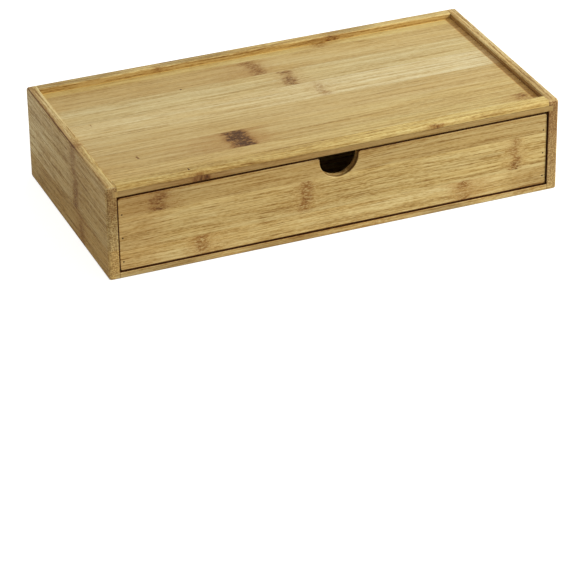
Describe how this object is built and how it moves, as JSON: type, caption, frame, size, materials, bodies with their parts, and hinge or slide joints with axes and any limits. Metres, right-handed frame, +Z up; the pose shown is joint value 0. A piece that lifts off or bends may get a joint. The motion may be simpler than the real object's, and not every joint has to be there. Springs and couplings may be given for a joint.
{
  "type": "tea bag drawer box",
  "caption": "Low bamboo box with a shallow tray top and one inset drawer with a finger notch, divided into six compartments for tea bags.",
  "frame": {"origin": "on the surface that the box stands on, under the middle of the case", "axes": "+X to the right as seen from the front, +Y to the back, +Z up; the drawer front faces -Y and the drawer opens along -Y"},
  "size_m": [0.335, 0.17, 0.07],
  "materials": {
    "case_bamboo": "laminated bamboo, sanded, thin clear satin lacquer",
    "panel_bamboo": "bamboo board, sanded, thin clear satin lacquer",
    "drawer_bamboo": "laminated bamboo, sanded, thin clear satin lacquer",
    "divider_bamboo": "bamboo slat, sanded",
    "brad_steel": "dulled steel"
  },
  "bodies": {
    "case": {"left_side": "case_bamboo", "right_side": "case_bamboo", "back_board": "case_bamboo", "top_panel": "panel_bamboo", "front_lip": "case_bamboo", "bottom_panel": "panel_bamboo"},
    "drawer": {"drawer_front": "drawer_bamboo", "drawer_left_side": "drawer_bamboo", "drawer_right_side": "drawer_bamboo", "drawer_back": "drawer_bamboo", "drawer_bottom": "panel_bamboo", "front_brads": "brad_steel", "rear_brads": "brad_steel", "long_divider": "divider_bamboo", "cross_divider_left": "divider_bamboo", "cross_divider_right": "divider_bamboo"}
  },
  "joints": [
    {"name": "drawer_slide", "type": "slide", "parent": "case", "child": "drawer", "axis": [0, -1, 0], "range_m": [0, 0.145]}
  ]
}
